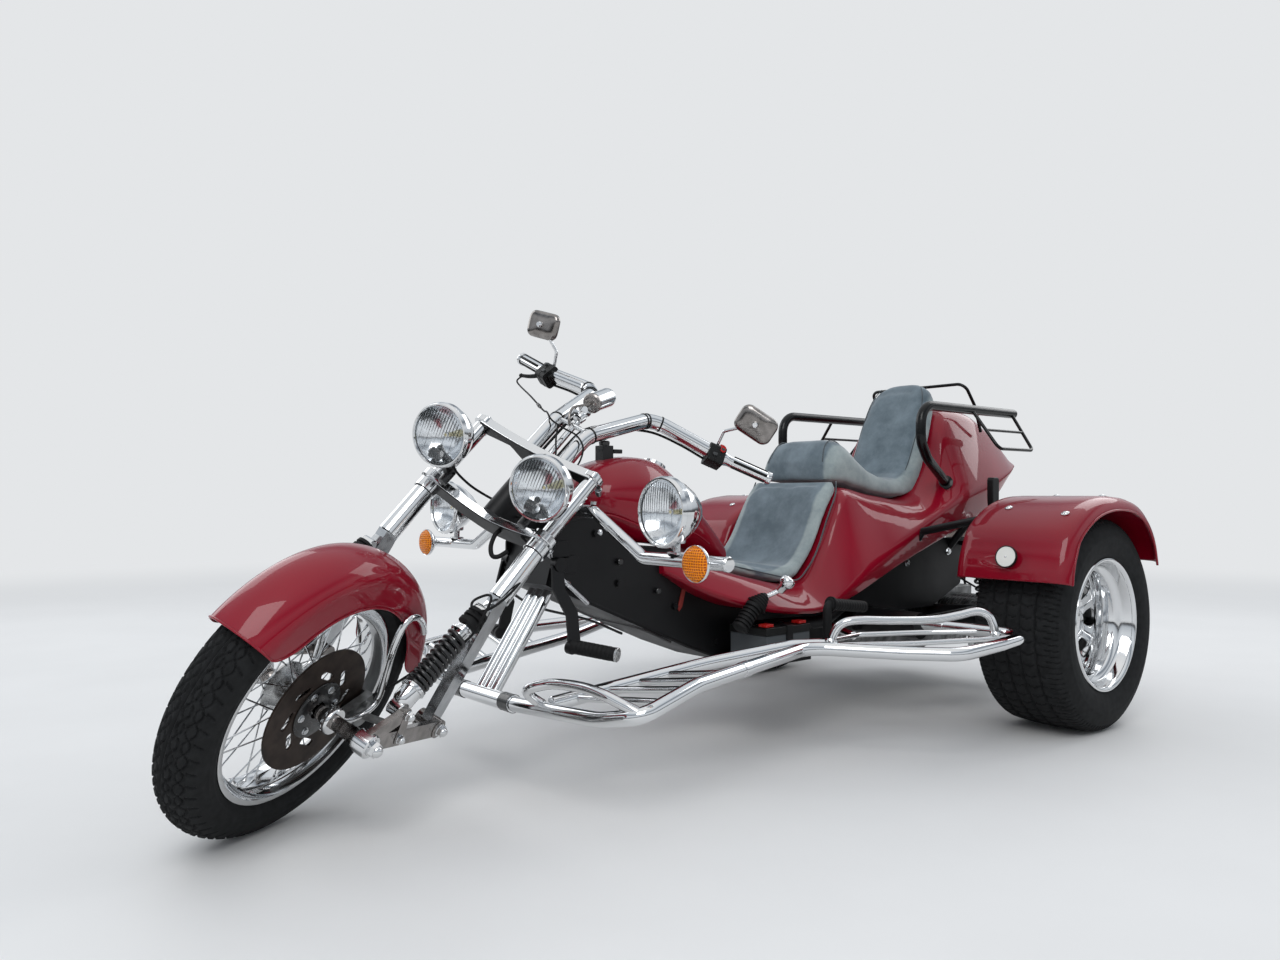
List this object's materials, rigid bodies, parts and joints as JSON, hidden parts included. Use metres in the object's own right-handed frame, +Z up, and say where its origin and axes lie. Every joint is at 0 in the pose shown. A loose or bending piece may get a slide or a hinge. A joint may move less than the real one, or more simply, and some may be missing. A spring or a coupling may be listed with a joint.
{
  "type": "motorized trike",
  "caption": "Motorized trike with a raked, steered front wheel, a low rider seat, a raised passenger seat with armrests and wide driven rear wheels.",
  "frame": {"origin": "on the ground at the middle of the overall length and width", "axes": "+Y to the rear along the length, +X to the rider's left, +Z up"},
  "size_m": [1.748, 3.1936, 1.3534],
  "materials": {
    "red_gloss": "deep cherry red gloss over glass fibre",
    "chrome": "bright chrome plate",
    "cast_alloy": "sand cast aluminium",
    "black_coat": "black powder coat",
    "black_plastic": "moulded black plastic",
    "black_rubber": "moulded rubber",
    "tyre": "road worn tyre rubber",
    "seat_cloth": "grey blue suede cloth",
    "disc_steel": "brown heat-stained steel",
    "amber_lens": "amber moulded lens",
    "plate_white": "blank white enamel"
  },
  "bodies": {
    "chassis": {"frame_spine": "black_coat", "rear_rail_left": "black_coat", "rear_rail_right": "black_coat", "cross_tubes": "black_coat", "fuel_tank": "red_gloss", "tank_cap": "chrome", "body_shell": "red_gloss", "rider_seat": "seat_cloth", "passenger_seat": "seat_cloth", "armrests": "black_coat", "luggage_rack": "black_coat", "rear_mudguard_left": "red_gloss", "rear_mudguard_right": "red_gloss", "mudguard_stays": "black_coat", "running_board_left": "chrome", "running_board_right": "chrome", "front_struts": "chrome", "lamp_bar": "chrome", "side_lamps": "chrome", "turn_signals": "amber_lens", "foot_controls": "black_rubber", "hand_levers": "chrome", "battery": "black_plastic", "gearbox": "cast_alloy", "rear_suspension": "black_coat", "engine": "cast_alloy", "fan_housing": "black_coat", "exhaust": "chrome", "rear_lights": "chrome", "number_plate": "plate_white"},
    "steering": {"lower_yoke": "chrome", "upper_yoke": "chrome", "fork_tubes": "chrome", "fork_legs": "chrome", "swing_arm": "chrome", "front_shocks": "black_coat", "front_mudguard": "red_gloss", "headlamps": "chrome", "handlebar": "chrome", "switch_boxes": "black_plastic", "mirrors": "chrome", "instrument": "chrome", "front_caliper": "cast_alloy"},
    "front_wheel": {"front_tyre": "tyre", "front_rim": "chrome", "front_disc": "disc_steel"},
    "rear_wheel_left": {"rear_tyre_left": "tyre", "rear_rim_left": "chrome"},
    "rear_wheel_right": {"rear_tyre_right": "tyre", "rear_rim_right": "chrome"}
  },
  "joints": [
    {"name": "steering", "type": "hinge", "parent": "chassis", "child": "steering", "pos_m": [0, -1.42389, 0], "axis": [0, 0.7071, 0.7071], "range_deg": [-76, 0]},
    {"name": "front_wheel_spin", "type": "hinge", "parent": "steering", "child": "front_wheel", "pos_m": [0.09543, -1.28815, 0.30847], "axis": [0.788, 0.4353, -0.4353], "continuous": true},
    {"name": "rear_wheel_left_spin", "type": "hinge", "parent": "chassis", "child": "rear_wheel_left", "pos_m": [0.689, 0.99662, 0.338], "axis": [1, 0, 0], "continuous": true},
    {"name": "rear_wheel_right_spin", "type": "hinge", "parent": "chassis", "child": "rear_wheel_right", "pos_m": [-0.689, 0.99662, 0.338], "axis": [1, 0, 0], "continuous": true}
  ]
}
